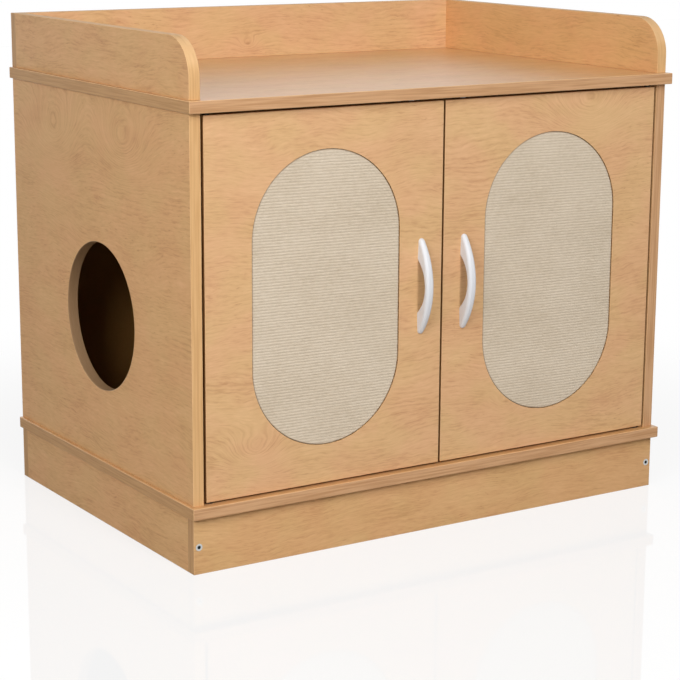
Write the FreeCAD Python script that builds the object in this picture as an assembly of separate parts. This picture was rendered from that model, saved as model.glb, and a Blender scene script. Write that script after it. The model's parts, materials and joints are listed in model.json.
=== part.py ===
"""Cat litter box cabinet: a two-door cupboard of laminated board on a plinth.

The left side panel has a round entrance, each door carries a scratch pad let
into its face and a bow handle, and a low gallery runs round three sides of
the top. Everything is in millimetres, +Z up, with the front facing -Y.

Pieces are worked out in cabinet coordinates (x = 0 in the middle, y = 0 at
the front edges of the side panels, z = 0 on the floor) and moved at the end,
so that the origin lies at the bottom centre of the whole.
"""
import FreeCAD, Part
import math
import os

V = FreeCAD.Vector

# --------------------------------------------------------------- driving sizes
BOARD = 16.0               # laminated chipboard
CARCASS_W = 790.0          # over the outer faces of the side panels
CARCASS_D = 547.0          # side panels, front edge to back edge
SIDE_H = 518.0             # side panels, between bottom and top panel
PLINTH_H = 78.0
SIDE_OVERHANG = 5.0        # top and bottom panel past the side panels
FRONT_OVERHANG = 10.0      # top and bottom panel past the side panels' front
PANEL_ROUND = 1.0          # rounded edge of the overhanging panels
EDGE_ROUND = 0.6           # rounded edge of every other board

HARDBOARD = 3.0            # back panel
HARDBOARD_INSET = 2.0      # its edges inside the carcass outline

GALLERY_H = 79.0
GALLERY_CORNER = 53.0      # radius of the side boards' top front corner

ENTRANCE_R = 105.0
ENTRANCE_Y = 268.0         # centre, behind the side panel's front edge
ENTRANCE_Z = 208.0         # centre, above the bottom panel
ENTRANCE_ROUND = 1.0

DOOR_SIDE_GAP = 4.0
DOOR_MIDDLE_GAP = 3.0
DOOR_TOP_GAP = 4.0
DOOR_BOTTOM_GAP = 3.0

PAD_W = 232.0              # scratch pad, straight sides and half-round ends
PAD_H = 403.0
PAD_T = 4.5
PAD_ROUND = 0.8
PAD_RECESS = 0.5           # the pad's face behind the door's face
PAD_FIT = 0.5              # gap round the pad

HANDLE_L = 134.0
HANDLE_W = 12.0            # width in the middle
HANDLE_END_W = 9.0         # width where the rounded ends start
HANDLE_REACH = 25.0        # outermost point from the door's face
HANDLE_T = 9.0             # thickness in the middle of the bow
HANDLE_GAP_L = 69.0        # finger gap along the door's face
HANDLE_TIP = 2.5           # thickness at the tips
HANDLE_PITCH = 96.0        # between the two screws
HANDLE_FROM_EDGE = 34.5    # centre line from the door's free edge
HANDLE_RAISE = 1.5         # above the middle of the door's height
HANDLE_ROUND = 4.0
HANDLE_SCREW_R = 2.0
HANDLE_SCREW_HEAD_R = 4.0
HANDLE_SCREW_HEAD_H = 2.6
HANDLE_SCREW_BITE = 7.0    # screw inside the handle's foot

PIVOT_FROM_EDGE = 8.0      # hinge axis from the door's hinge edge
PIN_R = 3.0
PIN_IN_DOOR = 20.0
PIN_IN_BUSH = 9.0
PIN_CHAMFER = 0.5
PIN_FLANGE_R = 4.5
PIN_FLANGE_T = 1.2
BUSH_R = 5.0
BUSH_L = 9.7
BUSH_FLANGE_R = 5.8
BUSH_FLANGE_T = 1.5
BUSH_CHAMFER = 0.4
PIN_CLEARANCE = 0.05       # radial clearance of a pin that turns in a bush

CATCH_FROM_EDGE = 41.5     # magnetic catch from the door's free edge
CATCH_BODY = (20.0, 13.0, 12.0)
CATCH_EAR = (42.0, 11.0, 3.0)
CATCH_EAR_BACK = 1.0       # the ears' front behind the body's front
CATCH_SCREW_PITCH = 31.0
MAGNET = (8.0, 9.0, 9.0)   # width, depth, height
MAGNET_NOSE = 1.5          # magnet in front of the catch body
MAGNET_GAP = 0.3           # between magnet and strike plate
MAGNET_GROOVE = 3.0        # between the two pole pieces
MAGNET_GROOVE_DEPTH = 0.6
STRIKE = (14.0, 1.0, 23.0)
STRIKE_FROM_TOP = 1.0      # strike plate below the door's top edge
STRIKE_SCREW_DROP = 15.6   # its screw below the plate's top
SMALL_SCREW_R = 1.5        # screws of the catch and the strike plate
SMALL_SCREW_L = 11.5
SMALL_SCREW_HEAD_R = 2.8
SMALL_SCREW_HEAD_H = 1.9

DOWEL_R = 4.0
DOWEL_L = 30.0
DOWEL_CHAMFER = 1.0
DOWEL_IN_FACE = 10.0       # the part of a dowel that is in a board's face
CARCASS_DOWEL_FROM_EDGE = 30.0
GALLERY_DOWEL_FROM_END = 120.0
GALLERY_BACK_DOWEL_X = 180.0

CAM_R = 7.5
CAM_T = 12.5
CAM_SLOT_W = 1.4           # arms of the cross drive
CAM_SLOT_DEPTH = 2.0
CAM_FROM_END = 34.0        # cam centre from the side panel's end
CAM_FROM_EDGE = 62.0       # cam from the side panel's front or back edge
CAM_BOLT_R = 3.0
CAM_BOLT_BITE = 11.0
CAM_SHANK_R = 2.5
CAM_HEAD_R = 3.5
CAM_HEAD_L = 4.0
CAM_HEAD_CHAMFER = 0.5
CAM_BORE_R = 4.0           # bore in the side panel's end for the bolt

BOARD_SCREW_R = 3.5        # board screws have a sunk head and a hexagon socket
BOARD_SCREW_L = 50.0
BOARD_SCREW_HEAD_R = 5.0
BOARD_SCREW_RIM = 1.2      # straight rim of the head
BOARD_SCREW_HEAD_H = 3.6
BOARD_SCREW_TIP_R = 1.6
BOARD_SCREW_TIP_L = 4.0
BOARD_SCREW_FLATS = 4.0
BOARD_SCREW_SOCKET = 3.4
PLINTH_SCREW_Z = 37.5
GALLERY_SCREW_Z = (20.0, 59.0)   # above the top panel
GALLERY_SCREW_X = 300.0

BRACKET_LEG = 25.0
BRACKET_W = 20.0
BRACKET_T = 2.0
BRACKET_SCREW = 14.0       # screw from the bracket's corner
BRACKET_SCREW_R = 1.75
BRACKET_SCREW_L = 12.0
BRACKET_SCREW_HEAD_R = 3.4
BRACKET_SCREW_HEAD_H = 2.2
BRACKET_HOLE_SPARE = 0.25
BRACKET_X = 200.0

NAIL_R = 0.7
NAIL_L = 18.0
NAIL_HEAD_R = 2.0
NAIL_HEAD_T = 0.6
NAIL_TIP = 1.4
NAIL_END = 45.0            # first nail from the carcass's side or end
NAIL_PITCH = 100.0         # nails are about this far apart
NAIL_FROM_BORE = 12.0      # a nail keeps this far from a screw or dowel that crosses its row

FIT = 0.05                 # radial clearance of fixed fasteners
HOLE_SPARE = 0.5           # blind holes are this much deeper than what is in them
OVERCUT = 1.0              # tools start this far outside the surface
SAME_PLACE = 0.001         # points closer than this count as one

# --------------------------------------------------------------- worked-out places
X_OUT = CARCASS_W / 2
X_IN = X_OUT - BOARD
X_SIDE = X_OUT - BOARD / 2                      # middle of a side panel's thickness
X_PANEL = X_OUT + SIDE_OVERHANG
Y_BACK_BOARD = CARCASS_D - BOARD                # front face of the rear boards
Y_BACK_MIDDLE = CARCASS_D - BOARD / 2
Z_FLOOR = PLINTH_H + BOARD                      # top face of the bottom panel
Z_CEILING = Z_FLOOR + SIDE_H                    # under face of the top panel
Z_TOP = Z_CEILING + BOARD
Z_RIM = Z_TOP + GALLERY_H
DOOR_W = X_IN - DOOR_SIDE_GAP - DOOR_MIDDLE_GAP / 2
DOOR_Z = Z_FLOOR + DOOR_BOTTOM_GAP
DOOR_TOP = Z_CEILING - DOOR_TOP_GAP
DOOR_MIDDLE_Z = (DOOR_Z + DOOR_TOP) / 2
DOOR_CENTRE_X = DOOR_MIDDLE_GAP / 2 + DOOR_W / 2
HANDLE_X = DOOR_MIDDLE_GAP / 2 + HANDLE_FROM_EDGE
CATCH_X = DOOR_MIDDLE_GAP / 2 + CATCH_FROM_EDGE
BASE_SCREWS_X = (-GALLERY_SCREW_X, 0, GALLERY_SCREW_X)
BACK_DOWELS_X = (-GALLERY_BACK_DOWEL_X, GALLERY_BACK_DOWEL_X)
PIVOT_X = X_IN - DOOR_SIDE_GAP - PIVOT_FROM_EDGE
PIVOT_Y = BOARD / 2
BACK_FACE = CARCASS_D + HARDBOARD
CENTRE_Y = (BACK_FACE + NAIL_HEAD_T - HANDLE_REACH) / 2

UP, DOWN = V(0, 0, 1), V(0, 0, -1)
BACKWARD, FORWARD = V(0, 1, 0), V(0, -1, 0)
SIDES = (("left", -1), ("right", 1))            # a side's name and the sign of its x

solids = {}                # node name -> its solids
tools = {}                 # node name -> what is bored or routed out of it


# --------------------------------------------------------------- building blocks
def add(node, *pieces):
    """Put pieces into a node."""
    solids.setdefault(node, []).extend(pieces)


def take(node, *pieces):
    """Take the shape of these pieces out of a node when it is finished."""
    tools.setdefault(node, []).extend(pieces)


def block(x, y, z, edge=0.0):
    """A box between two values on each axis, with rounded edges if edge is given."""
    (x0, x1), (y0, y1), (z0, z1) = sorted(x), sorted(y), sorted(z)
    box = Part.makeBox(x1 - x0, y1 - y0, z1 - z0, V(x0, y0, z0))
    return box.makeFillet(edge, box.Edges) if edge else box


def turned(profile, start, direction):
    """Turn (radius, depth) pairs about the line from start along direction."""
    points = [V(radius, 0, depth) for radius, depth in profile]
    points = [V(0, 0, profile[0][1])] + points + [V(0, 0, profile[-1][1])]
    outline = [points[0]]
    for point in points[1:]:
        if point.sub(outline[-1]).Length > SAME_PLACE:
            outline.append(point)
    face = Part.Face(Part.makePolygon(outline + [outline[0]]))
    body = face.revolve(V(0, 0, 0), V(0, 0, 1), 360)
    body.Placement = FreeCAD.Placement(start, FreeCAD.Rotation(UP, direction))
    return body


def bore(node, start, direction, radius, depth):
    """Bore a round hole into a node."""
    take(node, Part.makeCylinder(radius, depth + OVERCUT, start - direction * OVERCUT, direction))


def bore_for(nodes, profile, start, direction):
    """Bore the hole that a turned fastener needs through the named nodes."""
    grown = [(radius + FIT, depth) for radius, depth in profile]
    grown[0] = (grown[0][0], -OVERCUT)
    grown[-1] = (grown[-1][0], profile[-1][1] + HOLE_SPARE)
    for node in nodes:
        take(node, turned(grown, start, direction))


def cross_recess(start, direction, reach, slot, depth):
    """The two slots of a cross drive in a screw's head."""
    arms = []
    for turn in (0, 90):
        arm = Part.makeBox(2 * reach, slot, depth + OVERCUT, V(-reach, -slot / 2, -OVERCUT))
        arm.rotate(V(0, 0, 0), V(0, 0, 1), turn)
        arm.Placement = FreeCAD.Placement(start, FreeCAD.Rotation(UP, direction)).multiply(arm.Placement)
        arms.append(arm)
    return arms


def hex_socket(start, direction, flats, depth):
    """A hexagon socket in a screw's head."""
    corner = flats / 2 / math.cos(math.pi / 6)
    ring = [V(corner * math.cos(math.pi / 3 * i), corner * math.sin(math.pi / 3 * i), -OVERCUT)
            for i in range(7)]
    prism = Part.Face(Part.makePolygon(ring)).extrude(V(0, 0, depth + OVERCUT))
    prism.Placement = FreeCAD.Placement(start, FreeCAD.Rotation(UP, direction))
    return prism


def board_screw(node, start, direction, through):
    """A board screw with its head sunk flush: start is the middle of the head's face."""
    profile = [(BOARD_SCREW_HEAD_R, 0.0), (BOARD_SCREW_HEAD_R, BOARD_SCREW_RIM),
               (BOARD_SCREW_R, BOARD_SCREW_HEAD_H), (BOARD_SCREW_R, BOARD_SCREW_L - BOARD_SCREW_TIP_L),
               (BOARD_SCREW_TIP_R, BOARD_SCREW_L)]
    socket = hex_socket(start, direction, BOARD_SCREW_FLATS, BOARD_SCREW_SOCKET)
    screw = turned(profile, start, direction).cut(socket)
    add(node, screw)
    bore_for(through, profile, start, direction)


def pan_screw(node, start, direction, through, shank_r, length, head_r, head_h):
    """A pan head screw: start is on the face that its head bears on."""
    head = [(head_r * 0.62, -head_h), (head_r * 0.9, -head_h * 0.78), (head_r, -head_h * 0.35), (head_r, 0.0)]
    shank = [(shank_r, 0.0), (shank_r, length - shank_r), (shank_r * 0.5, length)]
    screw = turned(head + shank, start, direction)
    drive = cross_recess(start - direction * head_h, direction, head_r * 0.55, head_r * 0.22, head_h * 0.55)
    add(node, screw.cut(drive))
    bore_for(through, shank, start, direction)


def dowel(node, start, direction, face_board, end_board):
    """A dowel: start is on the joint, direction points into the board's end."""
    low = start - direction * DOWEL_IN_FACE
    profile = [(DOWEL_R - DOWEL_CHAMFER, 0.0), (DOWEL_R, DOWEL_CHAMFER),
               (DOWEL_R, DOWEL_L - DOWEL_CHAMFER), (DOWEL_R - DOWEL_CHAMFER, DOWEL_L)]
    add(node, turned(profile, low, direction))
    bore(face_board, start, -direction, DOWEL_R + FIT, DOWEL_IN_FACE + HOLE_SPARE)
    bore(end_board, start, direction, DOWEL_R + FIT, DOWEL_L - DOWEL_IN_FACE + HOLE_SPARE)


def stadium(centre, width, height, start_y, end_y):
    """A prism with straight sides and half-round ends, from start_y to end_y."""
    half, flat = width / 2, height / 2 - width / 2

    def at(x, z):
        return V(centre.x + x, start_y, centre.z + z)
    edges = [Part.LineSegment(at(half, -flat), at(half, flat)),
             Part.Arc(at(half, flat), at(0, flat + half), at(-half, flat)),
             Part.LineSegment(at(-half, flat), at(-half, -flat)),
             Part.Arc(at(-half, -flat), at(0, -flat - half), at(half, -flat))]
    outline = Part.Wire([edge.toShape() for edge in edges])
    return Part.Face(outline).extrude(V(0, end_y - start_y, 0))


def spread(pitch, low, high):
    """Evenly spaced values with one at each limit, about a pitch apart."""
    steps = max(1, round((high - low) / pitch))
    return [low + (high - low) * i / steps for i in range(steps + 1)]


def beside(place, bores, reach):
    """The place itself, or the nearest one that keeps this reach from a bore in its way."""
    for bore_place in bores:
        if abs(place - bore_place) < reach:
            return bore_place + math.copysign(reach, place - bore_place)
    return place


# --------------------------------------------------------------- carcass
def make_panels():
    depth = (-FRONT_OVERHANG, CARCASS_D)
    add("bottom_panel", block((-X_PANEL, X_PANEL), depth, (PLINTH_H, Z_FLOOR), PANEL_ROUND))
    add("top_panel", block((-X_PANEL, X_PANEL), depth, (Z_CEILING, Z_TOP), PANEL_ROUND))
    for side, sign in SIDES:
        panel = block((sign * X_IN, sign * X_OUT), (0, CARCASS_D), (Z_FLOOR, Z_CEILING), EDGE_ROUND)
        add(side + "_side_panel", panel)


def make_entrance():
    """The round way in through the left side panel, with its rim rounded on both faces."""
    centre = V(-X_OUT, ENTRANCE_Y, Z_FLOOR + ENTRANCE_Z)
    flare = ENTRANCE_ROUND * (1 - math.sqrt(0.5))
    profile = [(ENTRANCE_R + ENTRANCE_ROUND + OVERCUT, -OVERCUT),
               (ENTRANCE_R + ENTRANCE_ROUND, 0.0),
               (ENTRANCE_R + flare, flare),
               (ENTRANCE_R, ENTRANCE_ROUND),
               (ENTRANCE_R, BOARD - ENTRANCE_ROUND),
               (ENTRANCE_R + flare, BOARD - flare),
               (ENTRANCE_R + ENTRANCE_ROUND, BOARD),
               (ENTRANCE_R + ENTRANCE_ROUND + OVERCUT, BOARD + OVERCUT)]
    take("left_side_panel", turned(profile, centre, V(1, 0, 0)))


def make_back():
    inset = HARDBOARD_INSET
    across = (-X_OUT + inset, X_OUT - inset)
    add("back_panel", block(across, (CARCASS_D, BACK_FACE), (PLINTH_H + inset, Z_TOP - inset)))
    for x in spread(NAIL_PITCH, -X_OUT + NAIL_END, X_OUT - NAIL_END):
        nail(beside(x, BASE_SCREWS_X + BACK_DOWELS_X, NAIL_FROM_BORE), Z_TOP - BOARD / 2, "top_panel")
        nail(x, Z_FLOOR - BOARD / 2, "bottom_panel")
    for side, sign in SIDES:
        for z in spread(NAIL_PITCH, Z_FLOOR + NAIL_END, Z_CEILING - NAIL_END):
            nail(sign * X_SIDE, z, side + "_side_panel")


def nail(x, z, board):
    start = V(x, BACK_FACE, z)
    shank = [(NAIL_R, 0.0), (NAIL_R, NAIL_L - NAIL_TIP), (NAIL_R * 0.3, NAIL_L)]
    head = [(NAIL_HEAD_R * 0.8, -NAIL_HEAD_T), (NAIL_HEAD_R, -NAIL_HEAD_T / 2), (NAIL_HEAD_R, 0.0)]
    add("back_panel_nails", turned(head + shank, start, FORWARD))
    bore_for(("back_panel", board), shank, start, FORWARD)


def make_carcass_joints():
    """Dowels, and cam locks on bolts, at both ends of both side panels."""
    rows = ((Z_CEILING, DOWN, "top_panel"), (Z_FLOOR, UP, "bottom_panel"))
    dowel_rows = (CARCASS_DOWEL_FROM_EDGE, CARCASS_D / 2, CARCASS_D - CARCASS_DOWEL_FROM_EDGE)
    for side, sign in SIDES:
        panel = side + "_side_panel"
        for z, inward, shelf in rows:
            for y in dowel_rows:
                dowel("carcass_dowels", V(sign * X_SIDE, y, z), inward, shelf, panel)
            for y in (CAM_FROM_EDGE, CARCASS_D - CAM_FROM_EDGE):
                cam_lock(V(sign * X_SIDE, y, z), inward, sign, shelf, panel)


def cam_lock(joint, inward, sign, shelf, panel):
    """A cam in the side panel's inner face and the bolt that it draws in."""
    outward = V(sign, 0, 0)
    centre = V(sign * X_IN, joint.y, joint.z + inward.z * CAM_FROM_END)
    cam = Part.makeCylinder(CAM_R, CAM_T, centre, outward)
    rim = V(joint.x, joint.y, centre.z - inward.z * (CAM_R + OVERCUT))
    past_centre = CAM_HEAD_L / 2 + HOLE_SPARE
    pocket = Part.makeCylinder(CAM_HEAD_R + 2 * FIT, CAM_R + OVERCUT + past_centre, rim, inward)
    drive = cross_recess(centre, outward, CAM_R * 0.5, CAM_SLOT_W, CAM_SLOT_DEPTH)
    add("cam_locks", cam.cut([pocket] + drive))
    bore(panel, centre, outward, CAM_R + FIT, CAM_T + HOLE_SPARE)
    bore(panel, joint, inward, CAM_BORE_R, CAM_FROM_END)

    start = joint - inward * CAM_BOLT_BITE
    neck = CAM_BOLT_BITE + CAM_FROM_END - CAM_HEAD_L / 2
    chamfer = CAM_HEAD_CHAMFER
    profile = [(CAM_BOLT_R - chamfer, 0.0), (CAM_BOLT_R, chamfer), (CAM_BOLT_R, CAM_BOLT_BITE),
               (CAM_SHANK_R, CAM_BOLT_BITE), (CAM_SHANK_R, neck - chamfer), (CAM_HEAD_R, neck),
               (CAM_HEAD_R, neck + CAM_HEAD_L - chamfer), (CAM_HEAD_R - chamfer, neck + CAM_HEAD_L)]
    add("cam_bolts", turned(profile, start, inward))
    bore(shelf, joint, -inward, CAM_BOLT_R + FIT, CAM_BOLT_BITE + HOLE_SPARE)


# --------------------------------------------------------------- plinth
def make_plinth():
    height = (0, PLINTH_H)
    add("plinth_front", block((-X_OUT, X_OUT), (0, BOARD), height, EDGE_ROUND))
    add("plinth_back", block((-X_OUT, X_OUT), (Y_BACK_BOARD, CARCASS_D), height, EDGE_ROUND))
    for side, sign in SIDES:
        rail = "plinth_" + side
        add(rail, block((sign * X_IN, sign * X_OUT), (BOARD, Y_BACK_BOARD), height, EDGE_ROUND))
        for y, inward, face in ((0, BACKWARD, "plinth_front"), (CARCASS_D, FORWARD, "plinth_back")):
            board_screw("plinth_screws", V(sign * X_SIDE, y, PLINTH_SCREW_Z), inward, (face, rail))
        bracket(V(sign * X_IN, CARCASS_D / 2, PLINTH_H), V(-sign, 0, 0), rail)
        bracket(V(sign * BRACKET_X, BOARD, PLINTH_H), BACKWARD, "plinth_front")
        bracket(V(sign * BRACKET_X, Y_BACK_BOARD, PLINTH_H), FORWARD, "plinth_back")


def bracket(corner, inward, rail):
    """A steel angle in the corner of a plinth board and the bottom panel, with its two screws."""
    along = V(abs(inward.y), abs(inward.x), 0)
    legs = []
    for depth, drop in ((BRACKET_LEG, BRACKET_T), (BRACKET_T, BRACKET_LEG)):
        low = corner - along * (BRACKET_W / 2)
        high = corner + along * (BRACKET_W / 2) + inward * depth + DOWN * drop
        legs.append(block((low.x, high.x), (low.y, high.y), (low.z, high.z)))
    angle = legs[0].fuse(legs[1]).removeSplitter()
    size = (BRACKET_SCREW_R, BRACKET_SCREW_L, BRACKET_SCREW_HEAD_R, BRACKET_SCREW_HEAD_H)
    up_at = corner + inward * BRACKET_SCREW + DOWN * BRACKET_T
    out_at = corner + DOWN * BRACKET_SCREW + inward * BRACKET_T
    for start, direction, board in ((up_at, UP, "bottom_panel"), (out_at, -inward, rail)):
        pan_screw("bracket_screws", start, direction, (board,), *size)
        hole = Part.makeCylinder(BRACKET_SCREW_R + BRACKET_HOLE_SPARE, BRACKET_T + 2 * OVERCUT,
                                 start - direction * OVERCUT, direction)
        angle = angle.cut(hole)
    add("plinth_brackets", angle)


# --------------------------------------------------------------- gallery
def make_gallery():
    height = (Z_TOP, Z_RIM)
    add("gallery_back", block((-X_OUT, X_OUT), (Y_BACK_BOARD, CARCASS_D), height, EDGE_ROUND))
    for side, sign in SIDES:
        name = "gallery_" + side
        add(name, gallery_side(sign))
        for y in (GALLERY_DOWEL_FROM_END, Y_BACK_BOARD - GALLERY_DOWEL_FROM_END):
            dowel("gallery_dowels", V(sign * X_SIDE, y, Z_TOP), UP, "top_panel", name)
        for rise in GALLERY_SCREW_Z:
            board_screw("gallery_corner_screws", V(sign * X_SIDE, CARCASS_D, Z_TOP + rise), FORWARD,
                        ("gallery_back", name))
    for x in BACK_DOWELS_X:
        dowel("gallery_dowels", V(x, Y_BACK_MIDDLE, Z_TOP), UP, "top_panel", "gallery_back")
    for x in BASE_SCREWS_X:
        board_screw("gallery_base_screws", V(x, Y_BACK_MIDDLE, Z_CEILING), UP,
                    ("top_panel", "gallery_back"))


def gallery_side(sign):
    """A side board of the gallery, with a quarter-round top front corner."""
    x = min(sign * X_IN, sign * X_OUT)
    radius = GALLERY_CORNER
    bend = radius * (1 - math.sqrt(0.5))
    edges = [Part.LineSegment(V(x, 0, Z_TOP), V(x, 0, Z_RIM - radius)),
             Part.Arc(V(x, 0, Z_RIM - radius), V(x, bend, Z_RIM - bend), V(x, radius, Z_RIM)),
             Part.LineSegment(V(x, radius, Z_RIM), V(x, Y_BACK_BOARD, Z_RIM)),
             Part.LineSegment(V(x, Y_BACK_BOARD, Z_RIM), V(x, Y_BACK_BOARD, Z_TOP)),
             Part.LineSegment(V(x, Y_BACK_BOARD, Z_TOP), V(x, 0, Z_TOP))]
    outline = Part.Wire([edge.toShape() for edge in edges])
    board = Part.Face(outline).extrude(V(BOARD, 0, 0))
    return board.makeFillet(EDGE_ROUND, board.Edges)


# --------------------------------------------------------------- doors
def make_door(side, sign):
    door = side + "_door"
    free, hinged = sign * DOOR_MIDDLE_GAP / 2, sign * (DOOR_MIDDLE_GAP / 2 + DOOR_W)
    add(door, block((free, hinged), (0, BOARD), (DOOR_Z, DOOR_TOP), EDGE_ROUND))
    make_pad(side, sign, door)
    make_handle(side, sign, door)
    make_pivots(side, sign, door)
    make_catch(side, sign, door)


def make_pad(side, sign, door):
    centre = V(sign * DOOR_CENTRE_X, 0, DOOR_MIDDLE_Z)
    floor = PAD_RECESS + PAD_T
    pad = stadium(centre, PAD_W, PAD_H, PAD_RECESS, floor)
    front_edges = [edge for edge in pad.Edges if edge.BoundBox.YMax < PAD_RECESS + SAME_PLACE]
    add(side + "_scratch_pad", pad.makeFillet(PAD_ROUND, front_edges))
    take(door, stadium(centre, PAD_W + 2 * PAD_FIT, PAD_H + 2 * PAD_FIT, -OVERCUT, floor))


def make_handle(side, sign, door):
    x = sign * HANDLE_X
    middle = V(x, 0, DOOR_MIDDLE_Z + HANDLE_RAISE)
    add(side + "_handle", bow_handle(middle))
    for offset in (-HANDLE_PITCH / 2, HANDLE_PITCH / 2):
        start = V(x, BOARD, middle.z + offset)
        pan_screw(side + "_handle_screws", start, FORWARD, (door, side + "_handle"), HANDLE_SCREW_R,
                  BOARD + HANDLE_SCREW_BITE, HANDLE_SCREW_HEAD_R, HANDLE_SCREW_HEAD_H)


def handle_plan(centre):
    """The handle's outline seen from the front: a little wider in the middle, with round ends."""
    half, end = HANDLE_W / 2, HANDLE_END_W / 2
    flat = HANDLE_L / 2 - end

    def at(x, z):
        return V(centre.x + x, -HANDLE_REACH - OVERCUT, centre.z + z)
    edges = [Part.Arc(at(end, -flat), at(half, 0), at(end, flat)),
             Part.Arc(at(end, flat), at(0, flat + end), at(-end, flat)),
             Part.Arc(at(-end, flat), at(-half, 0), at(-end, -flat)),
             Part.Arc(at(-end, -flat), at(0, -flat - end), at(end, -flat))]
    outline = Part.Wire([edge.toShape() for edge in edges])
    return Part.Face(outline).extrude(V(0, HANDLE_REACH + 2 * OVERCUT, 0))


def bow_handle(centre):
    """A bow on two long feet: an outer arc over a shorter inner one, rounded all along."""
    half, gap = HANDLE_L / 2, HANDLE_GAP_L / 2
    x = centre.x - HANDLE_W / 2 - OVERCUT

    def at(rise, reach):
        return V(x, centre.y - reach, centre.z + rise)
    edges = [Part.Arc(at(-half, HANDLE_TIP), at(0, HANDLE_REACH), at(half, HANDLE_TIP)),
             Part.LineSegment(at(half, HANDLE_TIP), at(half, 0)),
             Part.LineSegment(at(half, 0), at(gap, 0)),
             Part.Arc(at(gap, 0), at(0, HANDLE_REACH - HANDLE_T), at(-gap, 0)),
             Part.LineSegment(at(-gap, 0), at(-half, 0)),
             Part.LineSegment(at(-half, 0), at(-half, HANDLE_TIP))]
    outline = Part.Wire([edge.toShape() for edge in edges])
    slab = Part.Face(outline).extrude(V(HANDLE_W + 2 * OVERCUT, 0, 0))
    bow = slab.common(handle_plan(centre))
    shortest_kept = HANDLE_W + OVERCUT
    outer = [edge for edge in bow.Edges if edge.Length > shortest_kept
             and edge.BoundBox.YMin < centre.y - HANDLE_TIP + SAME_PLACE]
    return bow.makeFillet(HANDLE_ROUND, outer).removeSplitter()


def make_pivots(side, sign, door):
    """Pins in the door's top and bottom edges, turning in flanged bushes let into the panels."""
    places = (("top", DOOR_TOP, Z_CEILING, UP, "top_panel"),
              ("bottom", DOOR_Z, Z_FLOOR, DOWN, "bottom_panel"))
    for end, edge_z, face_z, outward, panel in places:
        start = V(sign * PIVOT_X, PIVOT_Y, edge_z)
        reach = abs(face_z - edge_z) + PIN_IN_BUSH
        profile = [(PIN_R - PIN_CHAMFER, -PIN_IN_DOOR), (PIN_R, PIN_CHAMFER - PIN_IN_DOOR), (PIN_R, 0.0),
                   (PIN_FLANGE_R, 0.0), (PIN_FLANGE_R, PIN_FLANGE_T), (PIN_R, PIN_FLANGE_T),
                   (PIN_R, reach - PIN_CHAMFER), (PIN_R - PIN_CHAMFER, reach)]
        add("{}_{}_pivot_pin".format(side, end), turned(profile, start, outward))
        bore(door, start, -outward, PIN_R + FIT, PIN_IN_DOOR + HOLE_SPARE)

        face = V(start.x, start.y, face_z)
        bore_r = PIN_R + PIN_CLEARANCE
        tube = turned([(BUSH_FLANGE_R - BUSH_CHAMFER, -BUSH_FLANGE_T),
                       (BUSH_FLANGE_R, BUSH_CHAMFER - BUSH_FLANGE_T),
                       (BUSH_FLANGE_R, 0.0), (BUSH_R, 0.0), (BUSH_R, BUSH_L)], face, outward)
        through = Part.makeCylinder(bore_r, BUSH_L + BUSH_FLANGE_T + 2 * OVERCUT,
                                    face - outward * (BUSH_FLANGE_T + OVERCUT), outward)
        add("{}_{}_pivot_bush".format(side, end), tube.cut(through))
        bore(panel, face, outward, BUSH_R + FIT, BUSH_L + HOLE_SPARE)


def make_catch(side, sign, door):
    """A magnetic catch under the top panel that stops the door, and its strike plate."""
    x = sign * CATCH_X
    plate_w, plate_t, plate_h = STRIKE
    magnet_w, magnet_d, magnet_h = MAGNET
    body_w, body_d, body_h = CATCH_BODY
    ear_w, ear_d, ear_t = CATCH_EAR
    magnet_y = BOARD + plate_t + MAGNET_GAP
    body_y = magnet_y + MAGNET_NOSE

    body = block((x - body_w / 2, x + body_w / 2), (body_y, body_y + body_d),
                 (Z_CEILING - body_h, Z_CEILING))
    ear_y = body_y + CATCH_EAR_BACK
    ears = block((x - ear_w / 2, x + ear_w / 2), (ear_y, ear_y + ear_d), (Z_CEILING - ear_t, Z_CEILING))
    add(side + "_catch_body", body.fuse(ears).removeSplitter())

    magnet_z = Z_CEILING - body_h / 2
    tall = (magnet_z - magnet_h / 2, magnet_z + magnet_h / 2)
    magnet = block((x - magnet_w / 2, x + magnet_w / 2), (magnet_y, magnet_y + magnet_d), tall)
    groove = block((x - MAGNET_GROOVE / 2, x + MAGNET_GROOVE / 2),
                   (magnet_y - OVERCUT, magnet_y + MAGNET_GROOVE_DEPTH),
                   (tall[0] - OVERCUT, tall[1] + OVERCUT))
    add(side + "_catch_magnet", magnet.cut(groove))
    take(side + "_catch_body", block((x - magnet_w / 2 - FIT, x + magnet_w / 2 + FIT),
                                     (body_y - OVERCUT, magnet_y + magnet_d + FIT),
                                     (tall[0] - FIT, tall[1] + FIT)))
    small_screw = (SMALL_SCREW_R, SMALL_SCREW_L, SMALL_SCREW_HEAD_R, SMALL_SCREW_HEAD_H)
    for offset in (-CATCH_SCREW_PITCH / 2, CATCH_SCREW_PITCH / 2):
        start = V(x + offset, ear_y + ear_d / 2, Z_CEILING - ear_t)
        pan_screw(side + "_catch_screws", start, UP, (side + "_catch_body", "top_panel"), *small_screw)

    plate_top = DOOR_TOP - STRIKE_FROM_TOP
    add(side + "_strike_plate", block((x - plate_w / 2, x + plate_w / 2), (BOARD, BOARD + plate_t),
                                      (plate_top - plate_h, plate_top)))
    pan_screw(side + "_strike_screw", V(x, BOARD + plate_t, plate_top - STRIKE_SCREW_DROP), FORWARD,
              (side + "_strike_plate", door), *small_screw)


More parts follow.
